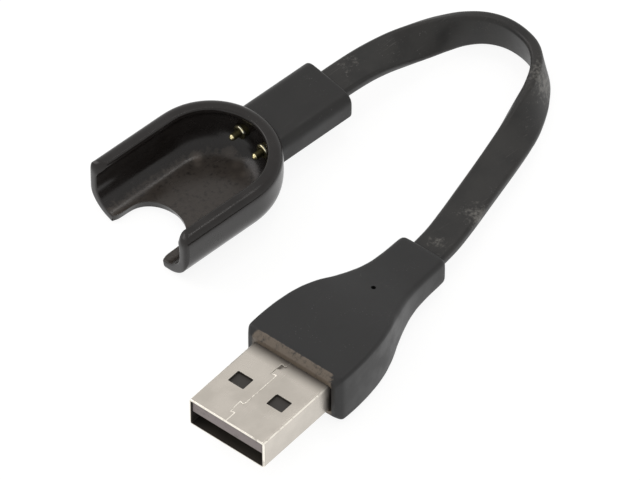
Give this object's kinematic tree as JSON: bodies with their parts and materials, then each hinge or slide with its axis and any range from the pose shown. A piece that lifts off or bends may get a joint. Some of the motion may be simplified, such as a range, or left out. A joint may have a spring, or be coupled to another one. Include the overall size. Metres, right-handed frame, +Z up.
{
  "type": "tracker charging cable",
  "caption": "U-shaped charging cradle for a wrist tracker, with sprung contact pins, a rectangular neck and a short flat cable looping to a USB-A plug.",
  "frame": {"origin": "on the surface that the cradle stands on, under the middle of the cup and its neck", "axes": "+X from the cup's open mouth towards the neck and cable, +Y to the left of that, +Z up out of the cup"},
  "size_m": [0.075, 0.0491, 0.0086],
  "materials": {
    "cup_plastic": "moulded, satin",
    "neck_rubber": "moulded, matt",
    "cable_jacket": "extruded, satin, lightly scuffed",
    "plug_rubber": "moulded, matt",
    "shell_nickel": "nickel plated, brushed",
    "contact_gold": "gold plated",
    "spring_steel": "drawn wire",
    "insulator_plastic": "moulded",
    "inner_mould": "moulded, natural",
    "board_green": "solder mask",
    "wire_red": "insulation",
    "wire_black": "insulation"
  },
  "bodies": {
    "body": {"cradle_cup": "cup_plastic", "neck_sleeve": "neck_rubber", "pin_carrier": "inner_mould", "pin_board": "board_green", "cable_end_cradle": "cable_jacket", "pin_barrel_left": "contact_gold", "pin_spring_left": "spring_steel", "cradle_wire_left": "wire_red", "pin_barrel_right": "contact_gold", "pin_spring_right": "spring_steel", "cradle_wire_right": "wire_black", "cable_flat": "cable_jacket", "plug_overmould": "plug_rubber", "plug_inner_mould": "inner_mould", "usb_shell": "shell_nickel", "usb_insulator": "insulator_plastic", "cable_end_plug": "cable_jacket", "usb_contact_1": "contact_gold", "usb_contact_2": "contact_gold", "usb_contact_3": "contact_gold", "usb_contact_4": "contact_gold", "plug_wire_red": "wire_red", "plug_wire_black": "wire_black"},
    "pin_left": {"pin_plunger_left": "contact_gold"},
    "pin_right": {"pin_plunger_right": "contact_gold"}
  },
  "joints": [
    {"name": "pin_left_slide", "type": "slide", "parent": "body", "child": "pin_left", "axis": [1, 0, 0], "range_m": [0, 0.001], "stiffness_N_per_m": 400, "springref_m": -0.0004, "deforming": ["pin_spring_left"]},
    {"name": "pin_right_slide", "type": "slide", "parent": "body", "child": "pin_right", "axis": [1, 0, 0], "range_m": [0, 0.001], "stiffness_N_per_m": 400, "springref_m": -0.0004, "deforming": ["pin_spring_right"]}
  ]
}
